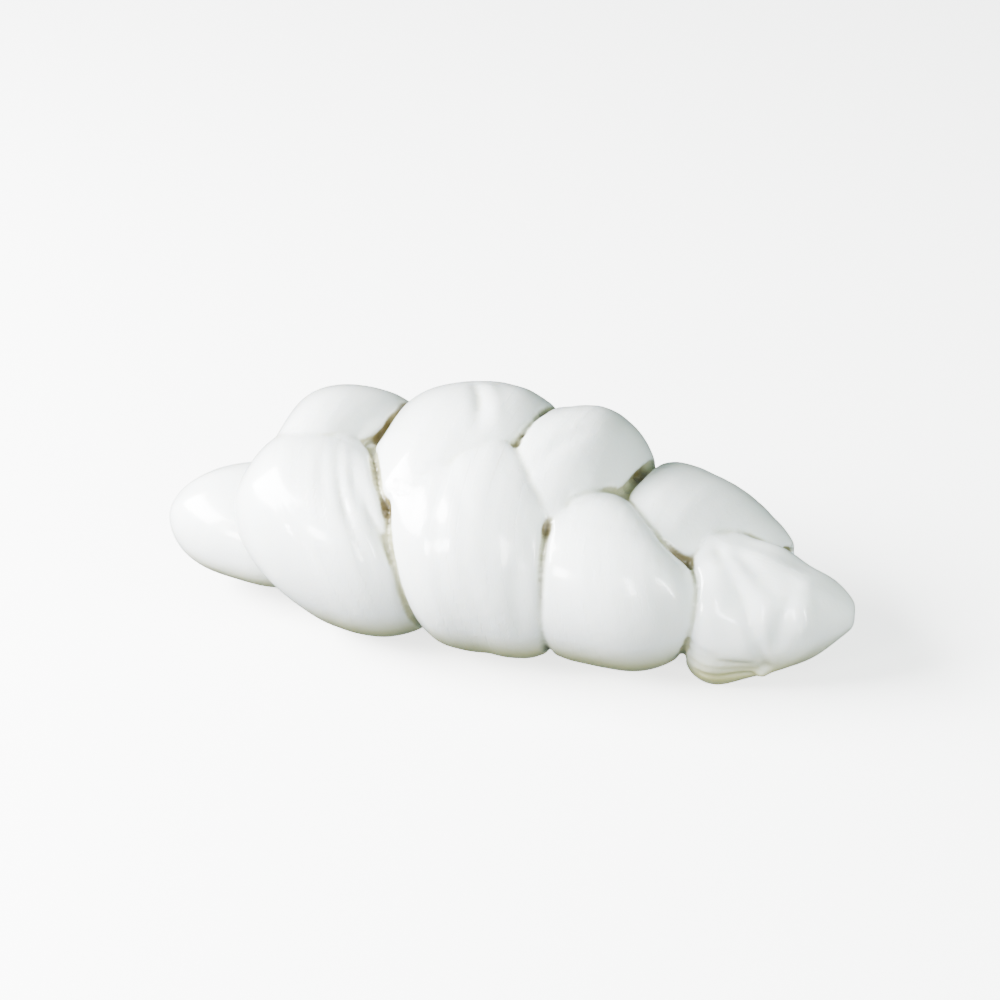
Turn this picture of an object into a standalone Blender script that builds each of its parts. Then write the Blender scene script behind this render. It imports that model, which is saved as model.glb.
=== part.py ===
"""Mozzarella braid: one plaited piece of stretched-curd cheese, lying on its side.

The plait runs along X and rests on z = 0. Each visible bulge is a lobe: a soft
pillow of curd that wraps round the plait's axis, starting at a tip tucked under
its neighbour near the crown and ending beneath the piece. Near lobes wrap down
the -Y side, far lobes down the +Y side. Two plain ends close the plait: a
rounded tail at -X and the pinched-off end at +X. Beside each, on the far side,
the end of another strand is tucked in.
"""

import bmesh
import bpy
import numpy as np
from mathutils import Matrix

MM = 0.001

# The plait as a whole (angles in degrees, sizes in millimetres)
CROWN_LEAN = 36          # the crown, where lobes cross, leans this far towards -Y
SECTION_POWER = 2.3      # lobe sections: 2 is an ellipse, more is squarer
END_POWER = 3.0          # how bluntly a lobe's two ends round off
TUCK_START = 12          # from this angle inwards a lobe's tip dives under
TUCK_DEPTH = 0.55        # share of its radius that the tip loses
TUCK_NARROWING = 0.35    # share of its width that the tip loses
LOBE_FOLLOW = 0.35       # share of a lobe's slant that its sections turn with
INNER_THICKNESS = 0.3    # a lobe's inner side, as a share of its path's smaller radius
CROWN_KNOT = 15          # angle at which a lobe's crown_x is measured
SIDE_KNOT = 90           # angle from which a lobe keeps its side_x

NEAR, FAR = -1, 1

# Lobes. wrap: angles of tip and tail from the crown, down the lobe's own side.
# tip_x, crown_x, side_x: where its middle line lies along the plait. reach and
# rise: half-width and half-height of the plait there. centre: its axis (y, z).
# half_width and side_width: the lobe's own half-width at the crown and beyond the side.
# fall: how steeply the lobe's back drops across its width towards +X.
LOBES = [
    dict(side=FAR, wrap=(-36, 243), tip_x=-60, crown_x=-54, side_x=-47,
         reach=36, rise=30, half_width=14, side_width=22, half_thick=17, centre=(4, 32),
         fall=0.0),
    dict(side=NEAR, wrap=(-38, 175), tip_x=-56, crown_x=-48, side_x=-34,
         reach=39, rise=34, half_width=26, side_width=26, half_thick=20, centre=(-1, 32),
         fall=0.0),
    dict(side=FAR, wrap=(-60, 243), tip_x=-29, crown_x=-12, side_x=-9.5,
         reach=41, rise=37, half_width=25.5, side_width=27, half_thick=20, centre=(2, 33),
         fall=0.0),
    dict(side=NEAR, wrap=(-58, 175), tip_x=1, crown_x=-4.5, side_x=2,
         reach=41, rise=36, half_width=27, side_width=27, half_thick=20, centre=(0, 33),
         fall=0.0),
    dict(side=FAR, wrap=(-47, 243), tip_x=8, crown_x=14, side_x=18,
         reach=39, rise=35, half_width=20, side_width=20, half_thick=18, centre=(2, 32),
         fall=0.0),
    dict(side=NEAR, wrap=(-18, 180), tip_x=27, crown_x=27, side_x=33,
         reach=38, rise=31, half_width=26, side_width=26, half_thick=18, centre=(0, 30),
         fall=0.0),
    dict(side=FAR, wrap=(-48, 243), tip_x=44, crown_x=49, side_x=57.5,
         reach=33, rise=24.5, half_width=16, side_width=20, half_thick=13, centre=(1, 25),
         fall=0.42),
]

# Ends and the core that all strands wrap: three points of the middle line and the
# section's half-sizes at each
PINCHED_END = dict(path=((54, -9, 20), (77, -7, 21), (100, -4, 21)),
                   across=(17, 17, 5), upright=(20, 17.5, 5), power=4.5)
TUCKED_ENDS = [
    dict(path=((46, 12, 20), (64, 12.5, 18.5), (82, 9, 16)),
         across=(16, 14.5, 7), upright=(15, 13.5, 8), power=3.0),
    dict(path=((-48, 13, 25), (-66, 13, 24), (-85, 7, 19)),
         across=(18, 16.5, 7), upright=(18, 16, 8), power=3.0),
]
TAIL_END = dict(path=((-58, 7, 18), (-79, -2, 22.5), (-97, -4, 20)),
                across=(28, 18, 8), upright=(17, 16, 11), power=3.0)
CORE = dict(path=((-72, 3, 26), (-2, 0, 32.5), (68, 5, 21)),
            across=(22, 26, 18), upright=(20, 22, 16), power=4.0)

# Facets
LOBE_SEGMENTS = 30
LOBE_RINGS = 22
END_SEGMENTS = 24
END_RINGS = 16
CORE_SEGMENTS = 16
CORE_RINGS = 12

BASE_CUT_BOX = 300      # side of the box that cuts the flat underside
REST_HEIGHT = 2.0       # of the plane it rests on, above the level the lobes are placed from

CHEESE_COLOUR = (0.88, 0.875, 0.84, 1.0)
CHEESE_ROUGHNESS = 0.32


def cubic(t, start, end, slope_start, slope_end):
    """Hermite cubic over t in 0..1."""
    return ((2 * t**3 - 3 * t**2 + 1) * start + (t**3 - 2 * t**2 + t) * slope_start
            + (3 * t**2 - 2 * t**3) * end + (t**3 - t**2) * slope_end)


def middle_x(lobe, angle):
    """Distance along the plait of a lobe's middle line, at an angle from the crown."""
    tip_angle = lobe["wrap"][0]
    inner = CROWN_KNOT - tip_angle
    outer = SIDE_KNOT - CROWN_KNOT
    inner_slope = (lobe["crown_x"] - lobe["tip_x"]) / inner
    outer_slope = (lobe["side_x"] - lobe["crown_x"]) / outer
    knot_slope = (inner_slope + outer_slope) / 2
    before = cubic(np.clip((angle - tip_angle) / inner, 0, 1),
                   lobe["tip_x"], lobe["crown_x"], inner_slope * inner, knot_slope * inner)
    after = cubic(np.clip((angle - CROWN_KNOT) / outer, 0, 1),
                  lobe["crown_x"], lobe["side_x"], knot_slope * outer, 0)
    return np.where(angle < CROWN_KNOT, before, after)


def through_three(values, along):
    """Quadratic through three values at 0, 0.5 and 1."""
    first, middle, last = (np.array(v, float) for v in values)
    along = np.asarray(along)[..., None] if first.ndim else np.asarray(along)
    return (first * (1 - along) * (1 - 2 * along) + middle * 4 * along * (1 - along)
            + last * along * (2 * along - 1))


def unit(vectors):
    return vectors / np.linalg.norm(vectors, axis=-1, keepdims=True)


def section(around):
    """Superellipse of unit half-sizes."""
    bend = 2 / SECTION_POWER
    width = np.sign(np.cos(around)) * np.abs(np.cos(around)) ** bend
    height = np.sign(np.sin(around)) * np.abs(np.sin(around)) ** bend
    return width, height


def sweep(path, outward, half_width, outer_thick, inner_thick, around, follow=(1, 1, 1),
          fall=0.0):
    """Points round a path: one row for each path point.

    follow: how far the sections turn with the path's run along each axis.
    fall: how steeply the outer side of the sections drops across their width.
    """
    tangent = unit(np.gradient(path, axis=0) * follow)
    normal = unit(outward - np.sum(outward * tangent, axis=1, keepdims=True) * tangent)
    across = np.cross(tangent, normal)
    width, height = section(around)
    thick = np.where(height > 0, outer_thick[:, None], inner_thick[:, None])
    offset = half_width[:, None] * width
    lift = thick * height - fall * offset * (1 + height) / 2
    return (path[:, None, :] + offset[..., None] * across[:, None, :]
            + lift[..., None] * normal[:, None, :])


def end_rounding(along, power):
    return np.clip(1 - np.abs(2 * along - 1) ** power, 0, 1) ** (1 / power)


def lobe_points(lobe, along, around):
    """A lobe's surface, along from tip (0) to tail (1)."""
    tip_angle, tail_angle = lobe["wrap"]
    angle = tip_angle + (tail_angle - tip_angle) * along
    tuck = np.clip((TUCK_START - angle) / (TUCK_START - tip_angle), 0, 1)
    from_top = np.radians(CROWN_LEAN - lobe["side"] * angle)
    outward = np.stack([0 * along, -np.sin(from_top), np.cos(from_top)], axis=1)
    shrink = 1 - TUCK_DEPTH * tuck**2
    radius_y = (lobe["reach"] - lobe["half_thick"]) * shrink
    radius_z = (lobe["rise"] - lobe["half_thick"]) * shrink
    path = np.stack([
        middle_x(lobe, angle),
        lobe["centre"][0] + radius_y * outward[:, 1],
        lobe["centre"][1] + radius_z * outward[:, 2],
    ], axis=1)
    rounding = end_rounding(along, END_POWER)
    spread = cubic(np.clip((angle - CROWN_KNOT) / (SIDE_KNOT - CROWN_KNOT), 0, 1),
                   lobe["half_width"], lobe["side_width"], 0, 0)
    half_width = spread * (1 - TUCK_NARROWING * tuck) * rounding
    outer_thick = lobe["half_thick"] * rounding
    inner_thick = INNER_THICKNESS * np.minimum(radius_y, radius_z) * rounding
    return sweep(path, outward, half_width, outer_thick, inner_thick, around,
                 follow=(LOBE_FOLLOW, 1, 1), fall=lobe["side"] * lobe["fall"])


def end_points(end, along, around):
    """The surface of a plain end or of the core."""
    path = through_three(end["path"], along)
    outward = np.zeros_like(path) + (0, 0, 1)
    rounding = end_rounding(along, end["power"])
    half_width = through_three(end["across"], along) * rounding
    half_thick = through_three(end["upright"], along) * rounding
    return sweep(path, outward, half_width, half_thick, half_thick, around)


def add_swept(name, collection, points_of, shape, segments, rings):
    """A sphere primitive whose vertices are laid on a swept surface."""
    mesh = bpy.data.meshes.new(name)
    form = bmesh.new()
    bmesh.ops.create_uvsphere(form, u_segments=segments, v_segments=rings, radius=1)
    form.verts.ensure_lookup_table()
    spots = np.array([vertex.co for vertex in form.verts], dtype=float)
    along = (1 - np.clip(spots[:, 2], -1, 1)) / 2
    levels, row = np.unique(np.round(along, 6), return_inverse=True)
    angles = np.arctan2(spots[:, 1], spots[:, 0])
    columns, column = np.unique(np.round(angles, 6), return_inverse=True)
    surface = points_of(shape, levels, columns)
    for vertex, place in zip(form.verts, surface[row, column]):
        vertex.co = place * MM
    if form.calc_volume(signed=True) < 0:
        bmesh.ops.reverse_faces(form, faces=form.faces)
    form.to_mesh(mesh)
    form.free()
    swept = bpy.data.objects.new(name, mesh)
    collection.objects.link(swept)
    return swept


def new_collection(name):
    collection = bpy.data.collections.new(name)
    bpy.context.scene.collection.children.link(collection)
    return collection


def cheese_material():
    material = bpy.data.materials.new("cheese")
    material.use_nodes = True
    shader = material.node_tree.nodes["Principled BSDF"]
    shader.inputs["Base Color"].default_value = CHEESE_COLOUR
    shader.inputs["Roughness"].default_value = CHEESE_ROUGHNESS
    shader.inputs["Metallic"].default_value = 0.0
    return material


def base_cutter(collection):
    """A box whose top face is the plane the braid rests on."""
    bpy.ops.mesh.primitive_cube_add(size=BASE_CUT_BOX * MM,
                                    location=(0, 0, (REST_HEIGHT - BASE_CUT_BOX / 2) * MM))
    cutter = bpy.context.active_object
    cutter.name = "base_cutter"
    for holder in list(cutter.users_collection):
        holder.objects.unlink(cutter)
    collection.objects.link(cutter)
    cutter.hide_render = True
    cutter.display_type = "WIRE"
    return cutter


def apply_modifiers(target):
    graph = bpy.context.evaluated_depsgraph_get()
    fused = bpy.data.meshes.new_from_object(target.evaluated_get(graph))
    target.modifiers.clear()
    target.data = fused


def fill_sealed_hollows(target):
    """Keeps the outer skin only, so that no hollow stays closed in between the strands."""
    mesh = bmesh.new()
    mesh.from_mesh(target.data)
    unvisited = set(mesh.faces)
    skins = []
    while unvisited:
        skin = set()
        waiting = [next(iter(unvisited))]
        while waiting:
            face = waiting.pop()
            if face in unvisited:
                unvisited.remove(face)
                skin.add(face)
                waiting.extend(other for edge in face.edges for other in edge.link_faces)
        skins.append(skin)
    outer = max(skins, key=len)
    inner_faces = [face for face in mesh.faces if face not in outer]
    bmesh.ops.delete(mesh, geom=inner_faces, context="FACES")
    mesh.to_mesh(target.data)
    mesh.free()


def centre_over_origin(target):
    """Moves the braid until the middle of its box's underside is at the origin."""
    corners = np.array([vertex.co for vertex in target.data.vertices])
    middle = (corners.min(axis=0) + corners.max(axis=0)) / 2
    target.data.transform(Matrix.Translation((-middle[0], -middle[1], -REST_HEIGHT * MM)))


def build_braid():
    for leftover in list(bpy.data.objects):
        bpy.data.objects.remove(leftover, do_unlink=True)

    model = new_collection("mozzarella_braid")
    strands = new_collection("strands")
    cutters = new_collection("cutters")

    braid = add_swept("braid", model, end_points, CORE, CORE_SEGMENTS, CORE_RINGS)
    for number, lobe in enumerate(LOBES, start=1):
        add_swept(f"lobe_{number}", strands, lobe_points, lobe, LOBE_SEGMENTS, LOBE_RINGS)
    add_swept("pinched_end", strands, end_points, PINCHED_END, END_SEGMENTS, END_RINGS)
    for tucked in TUCKED_ENDS:
        add_swept("tucked_end", strands, end_points, tucked, END_SEGMENTS, END_RINGS)
    add_swept("tail_end", strands, end_points, TAIL_END, END_SEGMENTS, END_RINGS)

    union = braid.modifiers.new("union", "BOOLEAN")
    union.operation = "UNION"
    union.operand_type = "COLLECTION"
    union.collection = strands
    union.solver = "MANIFOLD"
    rest = braid.modifiers.new("flat_underside", "BOOLEAN")
    rest.operation = "DIFFERENCE"
    rest.object = base_cutter(cutters)
    rest.solver = "MANIFOLD"
    apply_modifiers(braid)
    fill_sealed_hollows(braid)
    centre_over_origin(braid)
    for piece in list(strands.objects):
        bpy.data.objects.remove(piece, do_unlink=True)

    braid.data.materials.clear()
    braid.data.materials.append(cheese_material())
    braid.data.shade_smooth()
    return braid


build_braid()
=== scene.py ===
"""Looks of the mozzarella braid: a soft, wet, milk-white plait of stretched curd.

The fine braid is shown in place of the frame's plain one. Each lobe is swept from nearly
the same few sizes as the frame's, with the curd's grain and folds worked into it along
its strand. The lobes are then fused into one skin, and the joints between them are drawn
in, or filled where they have grown together.
"""

import math

import bpy
import numpy as np
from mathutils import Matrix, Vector, kdtree


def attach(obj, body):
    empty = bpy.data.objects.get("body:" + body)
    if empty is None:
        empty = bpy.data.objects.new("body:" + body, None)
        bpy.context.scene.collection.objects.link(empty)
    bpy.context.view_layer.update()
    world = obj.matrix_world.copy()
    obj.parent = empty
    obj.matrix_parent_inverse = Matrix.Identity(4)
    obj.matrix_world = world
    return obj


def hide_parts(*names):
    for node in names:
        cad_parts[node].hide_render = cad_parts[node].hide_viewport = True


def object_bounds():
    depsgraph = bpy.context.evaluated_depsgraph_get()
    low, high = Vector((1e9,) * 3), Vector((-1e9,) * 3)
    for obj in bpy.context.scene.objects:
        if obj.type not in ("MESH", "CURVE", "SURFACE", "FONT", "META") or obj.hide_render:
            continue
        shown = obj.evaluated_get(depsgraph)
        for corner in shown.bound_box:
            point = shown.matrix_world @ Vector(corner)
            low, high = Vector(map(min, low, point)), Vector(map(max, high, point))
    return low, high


MM = 0.001
TINY = 1e-6              # least length that anything is divided by

# The plait as a whole (angles in degrees, sizes in millimetres)
CROWN_LEAN = 36          # the crown, where lobes cross, leans this far towards -Y
SECTION_POWER = 2.1      # lobe sections: 2 is an ellipse, more is squarer
END_POWER = 3.0          # how bluntly a lobe's two ends round off
TUCK_START = 12          # from this angle inwards a lobe's tip dives under
TUCK_DEPTH = 0.55        # share of its radius that the tip loses
TUCK_NARROWING = 0.35    # share of its width that the tip loses
LOBE_FOLLOW = 0.35       # share of a lobe's slant that its sections turn with
INNER_THICKNESS = 0.3    # a lobe's inner side, as a share of its path's smaller radius
CROWN_KNOT = 15          # angle at which a lobe's crown_x is measured
SIDE_KNOT = 90           # angle from which a lobe keeps its side_x
REST_HEIGHT = 2.0        # of the plane it rests on, above the level the lobes are placed from

NEAR, FAR = -1, 1

# Lobes, named by side (D near, U far) and their order along the plait.
# wrap: angles of tip and tail from the crown, down the lobe's own side.
# tip_x, crown_x, side_x: where its middle line lies along the plait.
# reach and rise: half-width and half-height of the plait there. centre: its axis (y, z).
# half_width and side_width: the lobe's own half-width at the crown and beyond the side.
# half_thick: how far its back stands out from its middle line.
# fall: how steeply its back drops across its width towards +X.
LOBES = dict(
    U1=dict(side=FAR, wrap=(-36, 243), tip_x=-60, crown_x=-54, side_x=-47,
            reach=36, rise=32, half_width=14, side_width=22, half_thick=17, centre=(4, 32),
            fall=0.0),
    D1=dict(side=NEAR, wrap=(-38, 175), tip_x=-56, crown_x=-48, side_x=-34,
            reach=39, rise=33, half_width=26, side_width=26, half_thick=20, centre=(-1, 32),
            fall=0.0),
    U2=dict(side=FAR, wrap=(-60, 243), tip_x=-29, crown_x=-12, side_x=-9.5,
            reach=41, rise=37, half_width=25.5, side_width=27, half_thick=20, centre=(2, 33),
            fall=0.0),
    D2=dict(side=NEAR, wrap=(-58, 175), tip_x=1, crown_x=-4.5, side_x=2,
            reach=41, rise=36, half_width=27, side_width=27, half_thick=20, centre=(0, 33),
            fall=0.0),
    U3=dict(side=FAR, wrap=(-47, 243), tip_x=8, crown_x=14, side_x=18,
            reach=39, rise=35, half_width=20, side_width=20, half_thick=18, centre=(2, 32),
            fall=0.0),
    D3=dict(side=NEAR, wrap=(-18, 180), tip_x=27, crown_x=27, side_x=35,
            reach=38, rise=31, half_width=26, side_width=27.5, half_thick=18, centre=(0, 30),
            fall=0.0),
    U4=dict(side=FAR, wrap=(-48, 243), tip_x=44, crown_x=49, side_x=57.5,
            reach=33, rise=24.5, half_width=18, side_width=22.5, half_thick=13, centre=(1, 25),
            fall=0.42),
)

# Ends and the core that all strands wrap: three points of the middle line and the
# section's half-sizes at each
ENDS = dict(
    pinched=dict(path=((54, -9, 20), (77, -7, 21), (100, -4, 21)),
                 across=(18, 17, 5), upright=(22.5, 17.5, 5), power=6.0),
    tucked_right=dict(path=((46, 12, 20), (64, 12.5, 18.5), (82, 9, 16)),
                      across=(16, 14.5, 7), upright=(15, 13.5, 8), power=3.0),
    tucked_left=dict(path=((-48, 13, 25), (-66, 13, 24), (-85, 7, 19)),
                     across=(18, 16.5, 7), upright=(18, 16, 8), power=3.0),
    tail=dict(path=((-58, 7, 18), (-79, -2, 22.5), (-97, -4, 20)),
              across=(28, 18, 8), upright=(17, 16, 11), power=3.0),
    core=dict(path=((-72, 3, 26), (-2, 0, 32.5), (68, 5, 21)),
              across=(22, 26, 18), upright=(20, 22, 16), power=4.0),
)

# Folds in the skin: grooves that run along a strand, ridges where the depth is
# negative. run: angles between which a fold fades in and out. x: its offset from the
# lobe's middle, along the plait, at either end of the run.
FOLDS = [
    dict(lobe="U2", run=(16, 66), x=(7, -5), depth=0.9, width=2.2),
    dict(lobe="U2", run=(20, 60), x=(11, 0), depth=-0.6, width=2.4),
    dict(lobe="D1", run=(-6, 40), x=(8, 11), depth=0.8, width=1.1),
    dict(lobe="D1", run=(-4, 34), x=(12, 14), depth=0.8, width=1.0),
    dict(lobe="D1", run=(4, 58), x=(14, 17.5), depth=0.7, width=1.0),
    dict(lobe="D1", run=(14, 62), x=(9, 13), depth=0.6, width=1.0),
    dict(lobe="D1", run=(24, 84), x=(16, 20), depth=0.6, width=1.1),
    dict(lobe="D1", run=(-2, 30), x=(4, 6), depth=0.5, width=1.2),
    dict(lobe="D1", run=(12, 54), x=(-10, -1), depth=0.5, width=1.0),
    dict(lobe="D2", run=(-2, 30), x=(-7, 6), depth=0.3, width=2.4),
    dict(lobe="D2", run=(35, 80), x=(17, 12), depth=0.5, width=2.4),
    dict(lobe="D3", run=(40, 90), x=(20, 23), depth=0.5, width=2.2),
    dict(lobe="U3", run=(-5, 40), x=(-4, 9), depth=0.5, width=2.2),
]

# The same in the pinched end, as straight lines over its skin. Each end of a line is
# (share of the way along, angle round from the -Y side, upwards).
END_LENGTH = 46          # distances over its skin are measured with this length and radius
END_RADIUS = 17
END_FOLDS = [
    dict(line=((0.20, 80), (0.39, 29)), depth=0.7, width=2.4),
    dict(line=((0.39, 29), (0.46, -3)), depth=0.8, width=2.0),
    dict(line=((0.46, -3), (0.50, -32)), depth=1.0, width=2.0),
    dict(line=((0.02, -8), (0.42, -24)), depth=0.9, width=1.2),
    dict(line=((0.08, -19), (0.44, -33)), depth=0.8, width=1.1),
    dict(line=((0.12, -30), (0.42, -43)), depth=0.7, width=1.1),
    dict(line=((0.0, 2), (0.22, -12)), depth=0.8, width=1.1),
    dict(line=((0.71, 62), (0.72, 12)), depth=-0.7, width=2.6),
    dict(line=((0.60, 40), (0.56, 0)), depth=0.7, width=2.2),
    dict(line=((0.33, 78), (0.56, 44)), depth=0.6, width=2.6),
    dict(line=((0.48, -43), (0.49, -46)), depth=-1.2, width=1.5),
]

# Joints between lobes that differ from the rest: some have grown together, some are
# open and deep. place: a point of the joint. radius: how far it reaches. strength: 1
# fills a grown joint level, or opens a deep one in full; more swells a grown one.
GROWN_JOINTS = [
    dict(place=(-64, 2, 54), radius=16, strength=1.5),
    dict(place=(-54, -4, 59), radius=13, strength=1.25),
    dict(place=(-45, -4, 61), radius=9, strength=0.8),
    dict(place=(-17, -24, 58), radius=9, strength=0.85),
    dict(place=(-9, -20.5, 62), radius=8, strength=0.7),
    dict(place=(20, -22, 52.5), radius=5, strength=0.6),
    dict(place=(28, -18, 54), radius=7, strength=0.7),
    dict(place=(46, -8, 49), radius=7, strength=0.5),
    dict(place=(60, -10, 41), radius=8, strength=0.5),
    dict(place=(70, -5, 40), radius=8, strength=0.4),
    dict(place=(56, -25, 29), radius=11, strength=0.5),
]
DEEP_JOINTS = [
    dict(place=(-35.5, 20, 57), radius=10, strength=1.0),
    dict(place=(-36.3, 6, 56), radius=8, strength=1.0),
    dict(place=(-31, -17, 54), radius=12, strength=0.4),
    dict(place=(-26, -28.6, 50), radius=4.8, strength=1.0),
    dict(place=(17.3, -27.2, 51), radius=4.5, strength=1.0),
    dict(place=(17, -36, 33), radius=11, strength=0.6),
    dict(place=(18.4, -25, 9), radius=10, strength=0.8),
    dict(place=(5, -5, 65), radius=6, strength=0.5),
    dict(place=(9, 10, 66), radius=9, strength=0.5),
    dict(place=(35.5, 10, 49), radius=7, strength=0.7),
    dict(place=(54, -15, 41), radius=4.5, strength=0.9),
]

# Unevenness of the curd: heights in mm, wavelengths in mm along and across the strand
SWELL = dict(height=0.5, along=38, across=26)
GRAIN = dict(height=0.07, along=34, across=7)
DENTS = dict(height=0.55, along=17, across=13)
END_FIELDS = dict(pinched=(SWELL, DENTS), tucked_right=(SWELL,), tucked_left=(SWELL,),
                  tail=(SWELL, GRAIN), core=())
WAVES = 7                # waves that each unevenness is summed from
WAVE_PITCH = (0.7, 1.5)  # slowest and quickest of them, in waves to a wavelength
RELIEF_FADE = 0.5        # share of a lobe's section, above and below its middle, to fade over
SEED = 11

LOBE_GRID = (250, 220)   # rows along a lobe, points round it
END_GRID = (180, 200)
GRAIN_STEP = 3           # one grid point in so many, each way, marks the grain
GRAIN_APART = 100        # mm between one shape's grain and the next one's

# The fused skin. Depths are in mm; passes are smoothing passes.
SKIN_VOXEL = 0.79
SKIN_SMOOTHING = 2       # passes over the fused skin
FILLED_PASSES = 480      # of the surface that grown joints are filled up to
CREASE_PASSES = 30       # of the plumper surface that creases lie below
CREASE_DEPTH = 0.42      # depth below it that counts as a full crease
JOINT_DEPTH = 1.1        # how much a full crease is drawn in
DEEP_JOINT_DEPTH = 1.8   # and how much more where it is open
JOINT_SMOOTHING = 1      # passes after the creases are drawn in
LINE_PASSES = 8          # of the surface that the thin lines of the joints lie below
LINE_DEPTH = 0.2         # depth below it that counts as a full line
FOLD_DEPTH = 0.3         # a valley no deeper than this is a mere fold and takes no line
JOINT_VALLEY = 1.2       # a valley this deep is a joint and takes the whole line
LINE_SMOOTHING = 4       # passes over the lines
DEEP_JOINT_SHADE_SMOOTHING = 3       # passes over the painted shade of the deep joints

# Curd colours, with painted shade in the creases, joints and underside, and how far the skin's
# attributes lay them on
MILK = (0.83, 0.865, 0.86, 1)
# painted shade: darkens the creases between lobes, laid on by the crease attribute
CREASE_SHADE = (0.55, 0.58, 0.42, 1)
# painted shade: a thin dark line at the bottom of each joint's valley
JOINT_LINE_SHADE = (0.35, 0.34, 0.19, 1)
DEEP_JOINT_SHADE = (0.15, 0.12, 0.045, 1)      # painted shade, dark brown, where the joints are deep
FOOT_SHADE = (0.60, 0.58, 0.26, 1)        # painted shade with a painted yellow-green reflection from below, round the foot
FOOT_SHADE_HEIGHT = 18          # the painted foot shade ends at this height
FOOT_SHADE_TURN = 0.35          # and where the skin's normal points up more than this
FOOT_SHADE_GAIN = 1.7           # how fast it grows from there to its full strength
# how strongly the crease, line and deep-joint attributes lay on their painted shade
CREASE_TINT = dict(low=0.15, high=0.95, to_high=0.75)
LINE_TINT = dict(low=0.14, high=0.6, to_high=0.85)
DEEP_JOINT_SHADE_TINT = dict(low=0.15, high=0.55)

# Curd surface: noise scales are per metre, bump distances in mm
FIBRES = dict(scale=420.0, detail=3.0)
FIBRE_STRETCH = (0.22, 1.0, 1.0)   # of the grain's run and offset, and from shape to shape
FIBRE_BUMP = dict(strength=0.35, distance=0.6)
PORES = dict(scale=260.0, detail=2.0)
PORE_BUMP = dict(strength=0.25, distance=0.5)
WETNESS = dict(scale=90.0, detail=1.0)
WETNESS_RANGE = (0.35, 0.65)
ROUGHNESS = (0.30, 0.42)
CURD_SHADER = {
    "IOR": 1.45,
    "Subsurface Weight": 0.3,
    "Subsurface Radius": (1.0, 0.85, 0.65),
    "Subsurface Scale": 4 * MM,
    "Coat Weight": 1.0,
    "Coat Roughness": 0.15,
}

# View and light; powers are in watts
CAMERA_TARGET = (-0.7, -1.0, 30.5)
CAMERA_DISTANCE = 800
CAMERA_AZIMUTH = 15
CAMERA_ELEVATION = 30
CAMERA_LENS = 102.9
CAMERA_SHIFT = (-0.006, 0.025)
WHITE = (1.0, 1.0, 1.0)
GREENISH = (0.8, 1.0, 0.88)
LIGHTS = dict(
    key=dict(azimuth=-70, elevation=31, distance=900, size=(700, 460), power=96, colour=WHITE),
    front=dict(azimuth=-29, elevation=14, distance=800, size=(150, 150), power=7, colour=WHITE),
    fill=dict(azimuth=78, elevation=30, distance=900, size=(500, 500), power=4,
              colour=GREENISH),
    window_near=dict(azimuth=27, elevation=20, distance=800, size=(54, 340), power=3.8,
                     colour=WHITE),
    window_far=dict(azimuth=67, elevation=14, distance=800, size=(64, 320), power=4.2,
                    colour=WHITE),
)
SKY = (0.74, 1.0, 0.86, 1)
SKY_STRENGTH = 0.3
GROUND_STRENGTH = 0.25   # of the light from below
HORIZON = (-0.3, 0.4)    # one gives way to the other between these heights of a unit sphere
FLOOR_COLOUR = (0.93, 0.93, 0.93, 1)
FLOOR_ROUGHNESS = 0.9
FLOOR_GLOW = 2.5         # lifts the floor towards white
FLOOR_SIZE = 4000


def cubic(t, start, end, slope_start, slope_end):
    """Hermite curve over t = 0 .. 1."""
    return ((2 * t**3 - 3 * t**2 + 1) * start + (t**3 - 2 * t**2 + t) * slope_start
            + (3 * t**2 - 2 * t**3) * end + (t**3 - t**2) * slope_end)


def middle_x(lobe, angle):
    """Where a lobe's middle line lies along the plait, at each angle."""
    tip_angle = lobe["wrap"][0]
    inner = CROWN_KNOT - tip_angle
    outer = SIDE_KNOT - CROWN_KNOT
    inner_slope = (lobe["crown_x"] - lobe["tip_x"]) / inner
    outer_slope = (lobe["side_x"] - lobe["crown_x"]) / outer
    knot_slope = (inner_slope + outer_slope) / 2
    before = cubic(np.clip((angle - tip_angle) / inner, 0, 1),
                   lobe["tip_x"], lobe["crown_x"], inner_slope * inner, knot_slope * inner)
    after = cubic(np.clip((angle - CROWN_KNOT) / outer, 0, 1),
                  lobe["crown_x"], lobe["side_x"], knot_slope * outer, 0)
    return np.where(angle < CROWN_KNOT, before, after)


def through_three(values, along):
    """Quadratic through three values at 0, 0.5 and 1."""
    first, middle, last = (np.array(v, float) for v in values)
    along = np.asarray(along)[..., None] if first.ndim else np.asarray(along)
    return (first * (1 - along) * (1 - 2 * along) + middle * 4 * along * (1 - along)
            + last * along * (2 * along - 1))


def unit(vectors):
    return vectors / np.linalg.norm(vectors, axis=-1, keepdims=True)


def section(around):
    """Superellipse of unit half-sizes."""
    bend = 2 / SECTION_POWER
    width = np.sign(np.cos(around)) * np.abs(np.cos(around)) ** bend
    height = np.sign(np.sin(around)) * np.abs(np.sin(around)) ** bend
    return width, height


def uneven(field, along, across, rng):
    """Sum of a few waves in random directions, about field's height in all."""
    total = np.zeros(np.broadcast(along, across).shape)
    for _ in range(WAVES):
        heading = rng.uniform(0, math.pi)
        pitch = rng.uniform(*WAVE_PITCH)
        phase = rng.uniform(0, 2 * math.pi)
        total += np.sin(2 * math.pi * pitch * (np.cos(heading) * along / field["along"]
                                               + np.sin(heading) * across / field["across"])
                        + phase)
    return field["height"] * total / math.sqrt(WAVES)


def spacing(rows, columns):
    """Shares of the way along, closer together at both ends, and angles round."""
    along = (1 - np.cos(np.linspace(0, math.pi, rows))) / 2
    around = np.linspace(0, 2 * math.pi, columns, endpoint=False)
    return along, around


def end_rounding(along, power):
    """Share of its full size that a section keeps, falling to none at both ends."""
    return np.clip(1 - np.abs(2 * along - 1) ** power, 0, 1) ** (1 / power)


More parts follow.
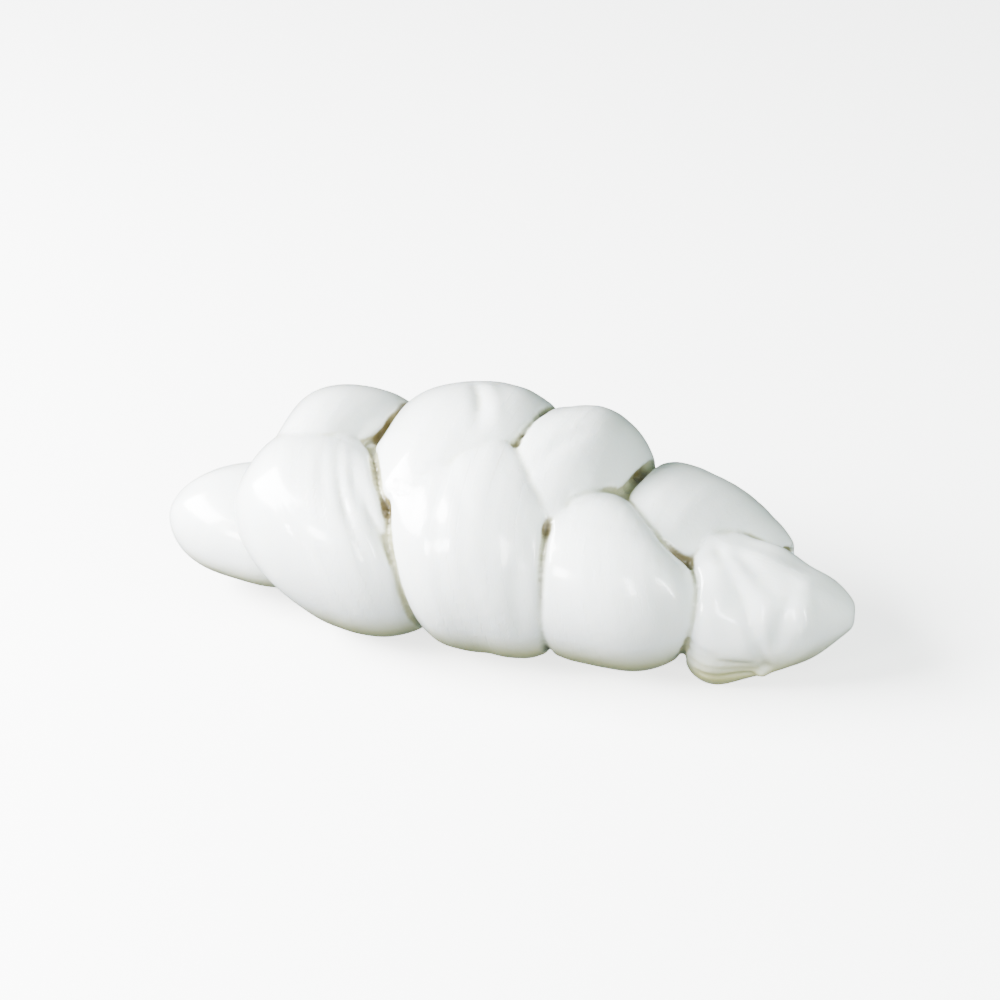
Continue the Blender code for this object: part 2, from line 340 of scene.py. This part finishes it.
def swept_skin(path, outward, half_width, outer_thick, inner_thick, around, follow, fall,
               relief):
    """Points of sections round a path, raised by relief(run, offset).

    outward is where the sections' outer side faces. follow scales how they turn with the
    path's slant, and fall drops one edge of them below the other. Returns the points,
    their run along the strand and their offset across it, in mm.
    """
    tangent = unit(np.gradient(path, axis=0) * follow)
    normal = unit(outward - np.sum(outward * tangent, axis=1, keepdims=True) * tangent)
    across = np.cross(tangent, normal)
    width, height = section(around)
    thick = np.where(height > 0, outer_thick[:, None], inner_thick[:, None])
    offset = half_width[:, None] * width
    steps = np.linalg.norm(np.diff(path, axis=0), axis=1)
    travelled = np.concatenate([[0], np.cumsum(steps)])
    run = np.broadcast_to(travelled[:, None], offset.shape)
    lift = relief(run, offset)
    dropped = fall * offset * (1 + height) / 2
    leaning = width * thick / np.maximum(half_width[:, None], TINY)
    out_length = np.maximum(np.hypot(leaning, height), TINY)
    spread = offset + lift * leaning / out_length
    rise = thick * height - dropped + lift * height / out_length
    points = (path[:, None, :] + spread[..., None] * across[:, None, :]
              + rise[..., None] * normal[:, None, :])
    return points, run, offset


def fold_relief(folds, side, angle, offset):
    """Height of the folds over a lobe at each angle and offset across the strand."""
    relief = np.zeros_like(offset)
    for fold in folds:
        begin, end = fold["run"]
        progress = (angle - begin) / (end - begin)
        strength = np.sin(math.pi * np.clip(progress, 0, 1))
        place = side * (fold["x"][0] + (fold["x"][1] - fold["x"][0]) * progress)
        relief -= fold["depth"] * strength * np.exp(-((offset - place) / fold["width"]) ** 2)
    return relief


def line_relief(folds, along, around):
    """Height of the folds over an end, from the distance of each point to each line."""
    metric = np.array([END_LENGTH, math.radians(END_RADIUS)])
    turn = (np.degrees(around) + 180) % 360 - 180
    spots = np.stack(np.broadcast_arrays(along[:, None], turn), axis=-1) * metric
    groove = np.zeros(spots.shape[:2])
    ridge = groove
    for fold in folds:
        start, stop = np.array(fold["line"]) * metric
        stretch = stop - start
        share = np.clip((spots - start) @ stretch / (stretch @ stretch), 0, 1)
        away = np.linalg.norm(spots - start - share[..., None] * stretch, axis=-1)
        depth = fold["depth"] * np.exp(-(away / fold["width"]) ** 2)
        groove = np.maximum(groove, depth)
        ridge = np.maximum(ridge, -depth)
    return ridge - groove


def lobe_skin(name, lobe, rng):
    """A lobe's points, with their run and offset."""
    along, around = spacing(*LOBE_GRID)
    tip_angle, tail_angle = lobe["wrap"]
    angle = tip_angle + (tail_angle - tip_angle) * along
    tuck = np.clip((TUCK_START - angle) / (TUCK_START - tip_angle), 0, 1)
    from_top = np.radians(CROWN_LEAN - lobe["side"] * angle)
    outward = np.stack([0 * along, -np.sin(from_top), np.cos(from_top)], axis=1)
    shrink = 1 - TUCK_DEPTH * tuck**2
    radius_y = (lobe["reach"] - lobe["half_thick"]) * shrink
    radius_z = (lobe["rise"] - lobe["half_thick"]) * shrink
    path = np.stack([
        middle_x(lobe, angle),
        lobe["centre"][0] + radius_y * outward[:, 1],
        lobe["centre"][1] + radius_z * outward[:, 2],
    ], axis=1)
    rounding = end_rounding(along, END_POWER)
    spread = cubic(np.clip((angle - CROWN_KNOT) / (SIDE_KNOT - CROWN_KNOT), 0, 1),
                   lobe["half_width"], lobe["side_width"], 0, 0)
    folds = [fold for fold in FOLDS if fold["lobe"] == name]
    outer = np.clip((section(around)[1] / RELIEF_FADE + 1) / 2, 0, 1)

    def relief(run, offset):
        return (uneven(SWELL, run, offset, rng) + uneven(GRAIN, run, offset, rng)
                + fold_relief(folds, lobe["side"], angle[:, None], offset)
                ) * rounding[:, None] * outer

    return swept_skin(path, outward,
                      half_width=spread * (1 - TUCK_NARROWING * tuck) * rounding,
                      outer_thick=lobe["half_thick"] * rounding,
                      inner_thick=INNER_THICKNESS * np.minimum(radius_y, radius_z) * rounding,
                      around=around, follow=(LOBE_FOLLOW, 1, 1),
                      fall=lobe["side"] * lobe["fall"], relief=relief)


def end_skin(name, end, rng):
    """The same of an end, or of the core."""
    along, around = spacing(*END_GRID)
    path = through_three(end["path"], along)
    outward = np.zeros_like(path) + (0, 0, 1)
    rounding = end_rounding(along, end["power"])
    half_thick = through_three(end["upright"], along) * rounding
    folds = END_FOLDS if name == "pinched" else []

    def relief(run, offset):
        total = line_relief(folds, along, around)
        for field in END_FIELDS[name]:
            total += uneven(field, run, offset, rng)
        return total * rounding[:, None]

    return swept_skin(path, outward, half_width=through_three(end["across"], along) * rounding,
                      outer_thick=half_thick, inner_thick=half_thick, around=around,
                      follow=(1, 1, 1), fall=0.0, relief=relief)


def closed_grid(rows, columns, first):
    """Quads of a tube of that many rows and columns, numbered from first."""
    row, column = np.meshgrid(np.arange(rows - 1), np.arange(columns), indexing="ij")
    beside = (column + 1) % columns
    quads = np.stack([row * columns + column, row * columns + beside,
                      (row + 1) * columns + beside, (row + 1) * columns + column], axis=-1)
    return quads.reshape(-1, 4) + first


def new_object(name, data):
    made = bpy.data.objects.new(name, data)
    bpy.context.scene.collection.objects.link(made)
    return made


def mesh_of(name, points, quads):
    mesh = bpy.data.meshes.new(name)
    mesh.vertices.add(len(points))
    mesh.vertices.foreach_set("co", (points * MM).ravel())
    mesh.loops.add(quads.size)
    mesh.loops.foreach_set("vertex_index", quads.ravel())
    mesh.polygons.add(len(quads))
    mesh.polygons.foreach_set("loop_start", np.arange(0, quads.size, 4))
    mesh.update(calc_edges=True)
    return mesh


def points_of(mesh):
    flat = np.empty(len(mesh.vertices) * 3)
    mesh.vertices.foreach_get("co", flat)
    return flat.reshape(-1, 3) / MM


def set_points(mesh, points):
    mesh.vertices.foreach_set("co", (points * MM).ravel())
    mesh.update()


def relaxed(points, edges, passes):
    """Values at points after moving each halfway to its neighbours' mean, passes times."""
    count = len(points)
    degree = np.bincount(edges.ravel(), minlength=count)[:, None]
    for _ in range(passes):
        total = np.stack([np.bincount(edges[:, 0], points[edges[:, 1], axis], count)
                          + np.bincount(edges[:, 1], points[edges[:, 0], axis], count)
                          for axis in range(points.shape[1])], axis=1)
        points = (points + total / degree) / 2
    return points


def edges_of(mesh):
    flat = np.empty(len(mesh.edges) * 2, dtype=np.int32)
    mesh.edges.foreach_get("vertices", flat)
    return flat.reshape(-1, 2)


def normals_of(mesh):
    flat = np.empty(len(mesh.vertices) * 3, dtype=np.float32)
    mesh.vertex_normals.foreach_get("vector", flat)
    return flat.reshape(-1, 3)


def fused_skin():
    """One skin over all shapes, and marks of the grain: where they lie and what they say.

    The grain is its run along the strand, its offset across it and the shape's own lane.
    """
    rng = np.random.default_rng(SEED)
    points, quads, marks, grain = [], [], [], []
    first = 0
    shapes = [(lobe_skin, name, lobe) for name, lobe in LOBES.items()]
    shapes += [(end_skin, name, end) for name, end in ENDS.items()]
    for number, (skin_of, name, shape) in enumerate(shapes):
        surface, run, offset = skin_of(name, shape, rng)
        rows, columns = surface.shape[:2]
        points.append(surface.reshape(-1, 3))
        quads.append(closed_grid(rows, columns, first))
        first += rows * columns
        pick = (slice(None, None, GRAIN_STEP),) * 2
        marks.append(surface[pick].reshape(-1, 3))
        lane = np.full(run[pick].shape, GRAIN_APART * number)
        grain.append(np.stack([run[pick], offset[pick], lane], axis=-1).reshape(-1, 3))
    lobes = new_object("lobes", mesh_of("lobes", np.concatenate(points), np.concatenate(quads)))
    fuse = lobes.modifiers.new("fuse", "REMESH")
    fuse.mode = "VOXEL"
    fuse.voxel_size = SKIN_VOXEL * MM
    graph = bpy.context.evaluated_depsgraph_get()
    skin = bpy.data.meshes.new_from_object(lobes.evaluated_get(graph))
    bpy.data.objects.remove(lobes, do_unlink=True)
    return skin, np.concatenate(marks), np.concatenate(grain)


def grain_at(points, marks, grain):
    """The grain of the nearest mark at each point."""
    tree = kdtree.KDTree(len(marks))
    for index, mark in enumerate(marks):
        tree.insert(mark, index)
    tree.balance()
    nearest = [tree.find(point)[1] for point in points]
    return grain[nearest]


def add_attribute(mesh, name, kind, values):
    made = mesh.attributes.new(name, kind, "POINT")
    made.data.foreach_set("vector" if kind == "FLOAT_VECTOR" else "value",
                          np.asarray(values, dtype=np.float32).ravel())


def reach_of(joints, points):
    """How strongly the joints act at each point."""
    strength = np.zeros(len(points))
    for joint in joints:
        away = np.sum((points - joint["place"]) ** 2, axis=1) / joint["radius"] ** 2
        strength = np.maximum(strength, joint["strength"] * np.exp(-away))
    return strength


def depth_below(plumper, points, normals):
    """How far the points lie below the plumper surface, along their normals."""
    return np.sum((plumper - points) * normals, axis=1)


def shape_joints(skin, points, edges):
    """The points, with grown joints filled and the others drawn in.

    Marks the skin with where shade is painted into the joints: crease, deep joint and line.
    """
    normals = normals_of(skin)
    filled = np.maximum(depth_below(relaxed(points, edges, FILLED_PASSES), points, normals), 0)
    grown = reach_of(GROWN_JOINTS, points)
    points = points + normals * (filled * grown)[:, None]

    deep = reach_of(DEEP_JOINTS, points)
    depth = depth_below(relaxed(points, edges, CREASE_PASSES), points, normals)
    crease = np.clip(depth / CREASE_DEPTH, 0, 1)
    drawn_in = crease**2 * (JOINT_DEPTH * np.maximum(1 - grown, 0) + DEEP_JOINT_DEPTH * deep)
    points = relaxed(points - normals * drawn_in[:, None], edges, JOINT_SMOOTHING)
    set_points(skin, points)
    # crease: how deep each point lies in a crease, which lays on the painted crease shade
    add_attribute(skin, "crease", "FLOAT", crease)
    # painted shade: darkening pooled in the deep joints
    deep_joint_mask = relaxed((crease * deep)[:, None], edges, DEEP_JOINT_SHADE_SMOOTHING)
    add_attribute(skin, "deep_joint_shade", "FLOAT", deep_joint_mask)

    # line: the thin painted shade along the bottom of each joint's valley
    depth = depth_below(relaxed(points, edges, LINE_PASSES), points, normals_of(skin))
    joint = np.clip((filled - FOLD_DEPTH) / (JOINT_VALLEY - FOLD_DEPTH), 0, 1)
    line = np.clip(depth / LINE_DEPTH, 0, 1) * joint
    add_attribute(skin, "line", "FLOAT", relaxed(line[:, None], edges, LINE_SMOOTHING))
    return points


def seated(points, cad_box):
    """The points where the frame's braid stands, cut flat where they rest."""
    middle = (points.min(axis=0) + points.max(axis=0)) / 2
    shift = (np.array(cad_box[0]) + np.array(cad_box[1])) / 2 / MM - middle
    shift[2] = -REST_HEIGHT
    moved = points + shift
    moved[:, 2] = np.maximum(moved[:, 2], 0)
    return moved


def mark_foot_shade(skin, points):
    """Mark the skin that is low and undercut, for its painted shade and painted yellow-green
    reflection.
    """
    low = np.clip(1 - points[:, 2] / FOOT_SHADE_HEIGHT, 0, 1)
    undercut = np.clip(FOOT_SHADE_TURN - normals_of(skin)[:, 2], 0, 1)
    add_attribute(skin, "foot_shade", "FLOAT", np.clip(FOOT_SHADE_GAIN * low * undercut, 0, 1))


def build_braid(cad_box):
    skin, marks, grain = fused_skin()
    edges = edges_of(skin)
    points = relaxed(points_of(skin), edges, SKIN_SMOOTHING)
    set_points(skin, points)
    add_attribute(skin, "grain", "FLOAT_VECTOR", grain_at(points, marks, grain) * MM)
    points = seated(shape_joints(skin, points, edges), cad_box)
    set_points(skin, points)
    mark_foot_shade(skin, points)
    skin.shade_smooth()
    return new_object("curd_braid", skin)


def node(tree, kind, **settings):
    made = tree.nodes.new(kind)
    for name, value in settings.items():
        setattr(made, name, value)
    return made


def set_inputs(made, values):
    for name, value in values.items():
        made.inputs[name].default_value = value


def from_skin(tree, name, output="Fac"):
    """Socket that reads an attribute of the skin."""
    return node(tree, "ShaderNodeAttribute", attribute_name=name).outputs[output]


def mixed(tree, factor, first, second):
    """Colour between first and second; each is a colour or a socket."""
    mix = node(tree, "ShaderNodeMix", data_type="RGBA")
    for socket, value in (("Factor_Float", factor), ("A_Color", first), ("B_Color", second)):
        target = next(s for s in mix.inputs if s.identifier == socket)
        if isinstance(value, bpy.types.NodeSocket):
            tree.links.new(value, target)
        else:
            target.default_value = value
    return next(s for s in mix.outputs if s.identifier == "Result_Color")


def scaled(tree, value, low, high, to_low=0.0, to_high=1.0):
    """value, a socket, mapped from low .. high to to_low .. to_high, smoothly and clamped."""
    ranged = node(tree, "ShaderNodeMapRange", interpolation_type="SMOOTHSTEP")
    tree.links.new(value, ranged.inputs["Value"])
    set_inputs(ranged, {"From Min": low, "From Max": high, "To Min": to_low, "To Max": to_high})
    return ranged.outputs["Result"]


def noise(tree, vector, scale, detail):
    made = node(tree, "ShaderNodeTexNoise")
    tree.links.new(vector, made.inputs["Vector"])
    set_inputs(made, {"Scale": scale, "Detail": detail})
    return made.outputs["Fac"]


def bump(tree, height, strength, distance):
    made = node(tree, "ShaderNodeBump")
    tree.links.new(height, made.inputs["Height"])
    set_inputs(made, {"Strength": strength, "Distance": distance * MM})
    return made


def new_material(name):
    """A material, and its shader."""
    material = bpy.data.materials.new(name)
    material.use_nodes = True
    return material, material.node_tree.nodes["Principled BSDF"]


def curd_material():
    material, shader = new_material("curd")
    set_inputs(shader, CURD_SHADER)
    tree = material.node_tree

    # painted shade and a painted yellow-green reflection on the low, undercut skin
    with_foot_shade = mixed(tree, from_skin(tree, "foot_shade"), MILK, FOOT_SHADE)
    # painted shade: the crease, joint line and deep joint tints darken the skin where shade
    # falls
    crease = scaled(tree, from_skin(tree, "crease"), **CREASE_TINT)
    line = scaled(tree, from_skin(tree, "line"), **LINE_TINT)
    deep_joint_shade = scaled(tree, from_skin(tree, "deep_joint_shade"), **DEEP_JOINT_SHADE_TINT)
    lined = mixed(tree, line, mixed(tree, crease, with_foot_shade, CREASE_SHADE), JOINT_LINE_SHADE)
    tree.links.new(mixed(tree, deep_joint_shade, lined, DEEP_JOINT_SHADE), shader.inputs["Base Color"])

    place = node(tree, "ShaderNodeTexCoord").outputs["Object"]
    wet = noise(tree, place, **WETNESS)
    tree.links.new(scaled(tree, wet, *WETNESS_RANGE, *ROUGHNESS), shader.inputs["Roughness"])

    stretch = node(tree, "ShaderNodeMapping")
    set_inputs(stretch, {"Scale": FIBRE_STRETCH})
    tree.links.new(from_skin(tree, "grain", "Vector"), stretch.inputs["Vector"])
    fibres = bump(tree, noise(tree, stretch.outputs["Vector"], **FIBRES), **FIBRE_BUMP)
    pores = bump(tree, noise(tree, place, **PORES), **PORE_BUMP)
    tree.links.new(fibres.outputs["Normal"], pores.inputs["Normal"])
    tree.links.new(pores.outputs["Normal"], shader.inputs["Normal"])
    return material


def floor_material():
    material, shader = new_material("floor")
    set_inputs(shader, {"Base Color": FLOOR_COLOUR, "Roughness": FLOOR_ROUGHNESS,
                        "Emission Color": FLOOR_COLOUR, "Emission Strength": FLOOR_GLOW})
    return material


def add_floor():
    bpy.ops.mesh.primitive_plane_add(size=FLOOR_SIZE * MM)
    floor = bpy.context.active_object
    floor.name = "floor"
    floor.data.materials.append(floor_material())
    floor.visible_diffuse = False      # it throws no light back up at the braid
    floor.visible_glossy = False       # and isn't mirrored in the wet skin


def direction(azimuth, elevation):
    """Unit vector from the object towards a viewer; azimuth 0 is on the -Y side."""
    turn, lift = math.radians(azimuth), math.radians(elevation)
    return Vector((math.sin(turn) * math.cos(lift), -math.cos(turn) * math.cos(lift),
                   math.sin(lift)))


def aim(thing, target, azimuth, elevation, distance):
    back = direction(azimuth, elevation)
    thing.location = (Vector(target) + back * distance) * MM
    thing.rotation_euler = back.to_track_quat("Z", "Y").to_euler()


def add_camera():
    data = bpy.data.cameras.new("camera")
    data.lens = CAMERA_LENS
    data.shift_x, data.shift_y = CAMERA_SHIFT
    camera = new_object("camera", data)
    aim(camera, CAMERA_TARGET, CAMERA_AZIMUTH, CAMERA_ELEVATION, CAMERA_DISTANCE)
    bpy.context.scene.camera = camera


def add_light(name, light):
    data = bpy.data.lights.new(name, "AREA")
    data.shape = "RECTANGLE"
    data.size, data.size_y = (side * MM for side in light["size"])
    data.energy = light["power"]
    data.color = light["colour"]
    lamp = new_object(name, data)
    aim(lamp, CAMERA_TARGET, light["azimuth"], light["elevation"], light["distance"])


def add_sky():
    world = bpy.data.worlds.new("sky")
    world.use_nodes = True
    tree = world.node_tree
    background = tree.nodes["Background"]
    set_inputs(background, {"Color": SKY})
    heading = node(tree, "ShaderNodeTexCoord").outputs["Generated"]
    split = node(tree, "ShaderNodeSeparateXYZ")
    tree.links.new(heading, split.inputs["Vector"])
    strength = scaled(tree, split.outputs["Z"], *HORIZON, GROUND_STRENGTH, SKY_STRENGTH)
    tree.links.new(strength, background.inputs["Strength"])
    bpy.context.scene.world = world


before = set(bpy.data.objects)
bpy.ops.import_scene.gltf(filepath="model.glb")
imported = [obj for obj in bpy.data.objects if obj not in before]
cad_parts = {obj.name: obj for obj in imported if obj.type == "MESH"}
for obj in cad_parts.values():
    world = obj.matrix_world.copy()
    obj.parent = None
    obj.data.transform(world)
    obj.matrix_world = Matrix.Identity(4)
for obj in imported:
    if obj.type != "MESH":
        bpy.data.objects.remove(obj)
cad_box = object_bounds()

braid = build_braid(cad_box)
braid.data.materials.append(curd_material())
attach(braid, "root")
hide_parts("braid")

add_floor()
add_camera()
for name, light in LIGHTS.items():
    add_light(name, light)
add_sky()
